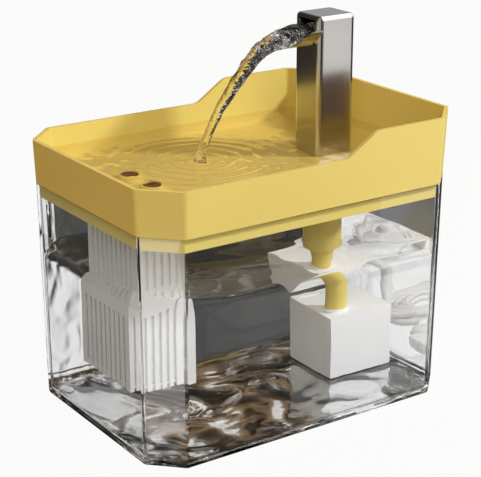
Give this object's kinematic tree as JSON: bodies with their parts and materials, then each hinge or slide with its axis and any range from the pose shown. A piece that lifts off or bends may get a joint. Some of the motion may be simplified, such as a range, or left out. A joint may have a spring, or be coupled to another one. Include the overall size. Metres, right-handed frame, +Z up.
{
  "type": "pet water fountain",
  "caption": "Octagonal clear water tank with a lift-off amber drinking tray, square steel faucet with trough spout, hanging filter cage and submerged pump on a USB lead.",
  "frame": {"origin": "middle of the tank's footprint, on the surface it stands on", "axes": "+X along the length towards the faucet and the high rim, +Y across the width, +Z up"},
  "size_m": [0.2905, 0.183, 0.2321],
  "materials": {
    "clear_plastic": "clear, glossy moulded plastic",
    "white_rubber": "soft white silicone",
    "amber_plastic": "glossy translucent pale yellow",
    "polished_steel": "polished stainless steel",
    "black_plastic": "satin black",
    "white_plastic": "satin white",
    "cotton": "white felted cotton",
    "carbon": "granulated carbon in a mesh bag",
    "pump_plastic": "smooth white moulded plastic",
    "impeller_plastic": "pale blue-grey moulding",
    "magnet": "dark ferrite",
    "ceramic": "polished ceramic",
    "bush_rubber": "black rubber",
    "stator_steel": "stacked laminations",
    "copper": "enamelled copper wire",
    "cord_sheath": "smooth white PVC",
    "plug_plastic": "glossy white",
    "plug_steel": "bright plated steel"
  },
  "bodies": {
    "tank": {"tank": "clear_plastic", "tank_foot_1": "clear_plastic", "tank_foot_2": "clear_plastic", "tank_foot_3": "clear_plastic", "tank_foot_4": "clear_plastic", "cord_grommet": "white_rubber", "riser_pipe": "amber_plastic", "outlet_nozzle": "pump_plastic", "pump_housing": "pump_plastic", "volute_cover": "pump_plastic", "pump_shaft": "ceramic", "front_bush": "bush_rubber", "rear_bush": "bush_rubber", "stator_core": "stator_steel", "stator_coil_1": "copper", "stator_coil_2": "copper", "pump_rear_cap": "pump_plastic", "pump_foot_1": "bush_rubber", "pump_foot_2": "bush_rubber", "pump_foot_3": "bush_rubber", "pump_foot_4": "bush_rubber", "cord_gland": "white_rubber", "usb_cord": "cord_sheath", "cord_coil": "cord_sheath", "cord_tail": "cord_sheath", "plug_sleeve": "cord_sheath", "plug_body": "plug_plastic", "plug_shell": "plug_steel", "plug_tongue": "plug_plastic"},
    "tray": {"tray": "amber_plastic", "drain_grate_1": "amber_plastic", "drain_grate_2": "amber_plastic"},
    "faucet": {"faucet_column": "polished_steel", "spout_lip": "polished_steel", "faucet_core": "black_plastic", "faucet_seal": "white_rubber"},
    "filter": {"filter_cage": "white_plastic", "filter_lid": "white_plastic", "filter_cotton": "cotton", "carbon_pack": "carbon"},
    "rotor": {"impeller": "impeller_plastic", "rotor_magnet": "magnet"},
    "cover": {"pump_cover": "pump_plastic"}
  },
  "joints": [
    {"name": "tray_lift", "type": "slide", "parent": "tank", "child": "tray", "axis": [0, 0, 1], "range_m": [0, 0.12]},
    {"name": "faucet_lift", "type": "slide", "parent": "tray", "child": "faucet", "axis": [0, 0, 1], "range_m": [0, 0.03]},
    {"name": "filter_drop", "type": "slide", "parent": "tray", "child": "filter", "axis": [0, 0, -1], "range_m": [0, 0.025]},
    {"name": "impeller_spin", "type": "hinge", "parent": "tank", "child": "rotor", "pos_m": [0.0725, 0, 0.02395], "axis": [0, 1, 0], "continuous": true},
    {"name": "cover_slide", "type": "slide", "parent": "tank", "child": "cover", "axis": [0, -1, 0], "range_m": [0, 0.02]}
  ]
}
